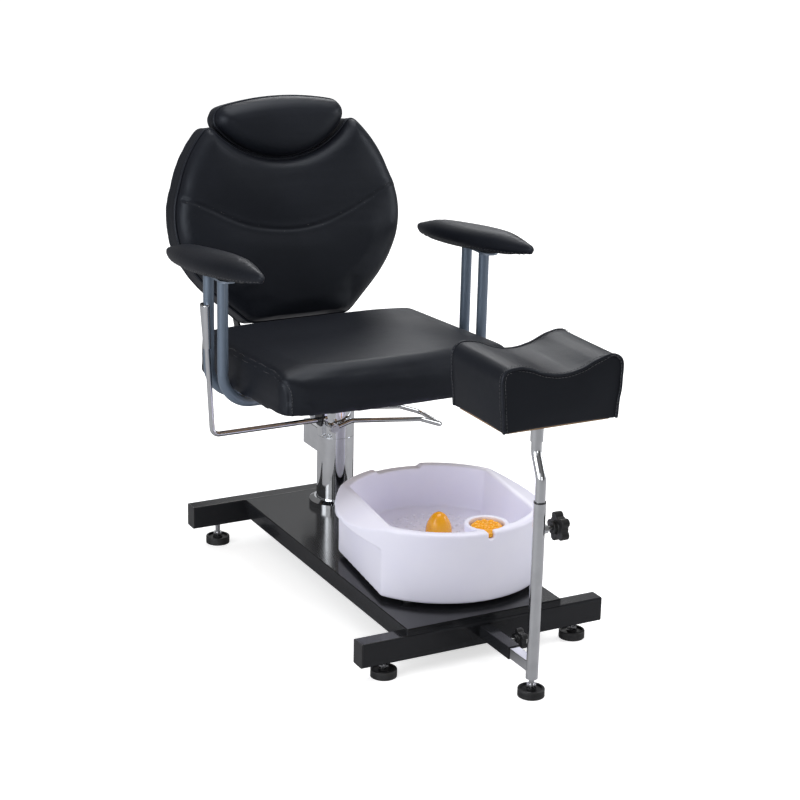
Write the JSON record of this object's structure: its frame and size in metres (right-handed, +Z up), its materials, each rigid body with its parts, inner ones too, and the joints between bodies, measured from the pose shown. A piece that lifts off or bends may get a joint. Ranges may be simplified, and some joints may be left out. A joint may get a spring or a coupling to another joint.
{
  "type": "pedicure spa chair",
  "caption": "Pedicure chair with swivelling lift seat, reclining back, arms, adjustable leg rest on a side-clamped post and a foot basin on the base plate.",
  "frame": {"origin": "on the floor, at the centre of the chair's bounding box at rest", "axes": "+Z up, -Y the way the sitter faces (towards the leg rest), +X the sitter's left"},
  "size_m": [0.6778, 1.2118, 0.921],
  "materials": {
    "black_steel": "gloss powder coat",
    "chrome": "polished chrome plate",
    "steel": "bright zinc",
    "arm_paint": "satin grey-blue paint",
    "black_vinyl": "fine-grained black vinyl upholstery",
    "basin_plastic": "lavender-white moulded plastic",
    "orange_plastic": "glossy orange plastic",
    "black_plastic": "moulded black plastic",
    "black_rubber": "black rubber pad on a zinc stud",
    "plywood": "plain plywood"
  },
  "bodies": {
    "base": {"front_beam": "black_steel", "rear_beam": "black_steel", "beam_end_caps": "black_plastic", "base_plate": "black_steel", "side_rails": "black_steel", "column_flange": "black_steel", "column_collar": "chrome", "column_bolts": "steel", "guide_tube": "steel", "pump_cylinder": "steel", "receiver_tube": "black_steel", "foot_front_right": "black_rubber", "foot_front_left": "black_rubber", "foot_rear_right": "black_rubber", "foot_rear_left": "black_rubber"},
    "lift_ram": {"ram_rod": "steel"},
    "seat": {"outer_sleeve": "chrome", "pump_head": "chrome", "pump_box": "chrome", "lift_lever_pin": "chrome", "seat_rails": "black_steel", "seat_mount": "black_steel", "seat_bolts": "steel", "arm_frames": "arm_paint", "arm_bases": "black_plastic", "arm_pads": "black_vinyl", "arm_screws": "steel", "seat_board": "plywood", "seat_cushion": "black_vinyl", "seat_ears": "black_steel", "back_pivot_pins": "steel"},
    "pump_lever": {"lift_lever": "chrome"},
    "recline_handle": {"recline_lever": "chrome", "lever_grip": "chrome"},
    "backrest": {"back_cushion": "black_vinyl", "back_board": "black_vinyl", "headrest_guides": "black_plastic", "back_brackets": "black_steel", "back_screws": "steel", "clamp_bolts": "steel"},
    "headrest": {"headrest_rods": "chrome", "headrest_cushion": "black_vinyl"},
    "legrest_post": {"slide_tube": "chrome", "post_tube": "chrome", "foot_post": "black_rubber"},
    "legrest_bush": {"post_bush": "black_plastic"},
    "legrest_tube": {"bent_tube": "chrome"},
    "legrest_pad": {"leg_sleeve": "chrome", "leg_screws": "steel", "leg_board": "plywood", "leg_cushion": "black_vinyl"},
    "post_clamp_screw": {"post_knob_stud": "steel"},
    "post_clamp_knob": {"post_knob": "black_plastic"},
    "slide_clamp_screw": {"slide_knob_stud": "steel"},
    "slide_clamp_knob": {"slide_knob": "black_plastic"},
    "foot_basin": {"basin": "basin_plastic", "basin_bottom": "basin_plastic", "basin_feet": "black_rubber", "massage_dome": "orange_plastic"},
    "roller": {"massage_roller": "orange_plastic"}
  },
  "joints": [
    {"name": "seat_lift", "type": "slide", "parent": "base", "child": "lift_ram", "axis": [0, 0, 1], "range_m": [0, 0.12]},
    {"name": "seat_swivel", "type": "hinge", "parent": "lift_ram", "child": "seat", "pos_m": [0, 0.26413, 0.3], "axis": [0, 0, 1], "continuous": true},
    {"name": "pump_lever_stroke", "type": "hinge", "parent": "seat", "child": "pump_lever", "pos_m": [-0.027, 0.26413, 0.278], "axis": [0, 1, 0], "range_deg": [0, 18]},
    {"name": "recline_handle_pull", "type": "hinge", "parent": "seat", "child": "recline_handle", "pos_m": [-0.067, 0.20413, 0.306], "axis": [-1, 0, 0], "range_deg": [0, 20]},
    {"name": "back_recline", "type": "hinge", "parent": "seat", "child": "backrest", "pos_m": [0, 0.46913, 0.428], "axis": [-1, 0, 0], "range_deg": [0, 40]},
    {"name": "headrest_height", "type": "slide", "parent": "backrest", "child": "headrest", "axis": [0, 0.2419, 0.9703], "range_m": [0, 0.06]},
    {"name": "legrest_reach", "type": "slide", "parent": "base", "child": "legrest_post", "axis": [0, -1, 0], "range_m": [0, 0.15]},
    {"name": "legrest_tube_turn", "type": "hinge", "parent": "legrest_post", "child": "legrest_bush", "pos_m": [0, -0.54787, 0.37], "axis": [0, 0, 1], "continuous": true},
    {"name": "legrest_height", "type": "slide", "parent": "legrest_bush", "child": "legrest_tube", "axis": [0, 0, 1], "range_m": [0, 0.15]},
    {"name": "legrest_pad_turn", "type": "hinge", "parent": "legrest_tube", "child": "legrest_pad", "pos_m": [0, -0.52787, 0.5], "axis": [0, 0, 1], "continuous": true},
    {"name": "post_clamp_travel", "type": "slide", "parent": "legrest_post", "child": "post_clamp_screw", "axis": [1, 0, 0], "range_m": [0, 0.004]},
    {"name": "post_clamp_turn", "type": "hinge", "parent": "post_clamp_screw", "child": "post_clamp_knob", "pos_m": [0.03, -0.54787, 0.321], "axis": [1, 0, 0], "range_deg": [0, 1080]},
    {"name": "slide_clamp_travel", "type": "slide", "parent": "base", "child": "slide_clamp_screw", "axis": [1, 0, 0], "range_m": [0, 0.004]},
    {"name": "slide_clamp_turn", "type": "hinge", "parent": "slide_clamp_screw", "child": "slide_clamp_knob", "pos_m": [0.03, -0.43787, 0.058], "axis": [1, 0, 0], "range_deg": [0, 1080]},
    {"name": "basin_pull_out", "type": "slide", "parent": "base", "child": "foot_basin", "axis": [1, 0, 0], "range_m": [0, 0.4]},
    {"name": "roller_lift_out", "type": "slide", "parent": "foot_basin", "child": "roller", "axis": [0, 0, 1], "range_m": [0, 0.05]}
  ],
  "couplings": [
    {"joint": "post_clamp_travel", "follows": "post_clamp_turn", "m_per_rad": 0.00019894},
    {"joint": "slide_clamp_travel", "follows": "slide_clamp_turn", "m_per_rad": 0.00019894}
  ]
}
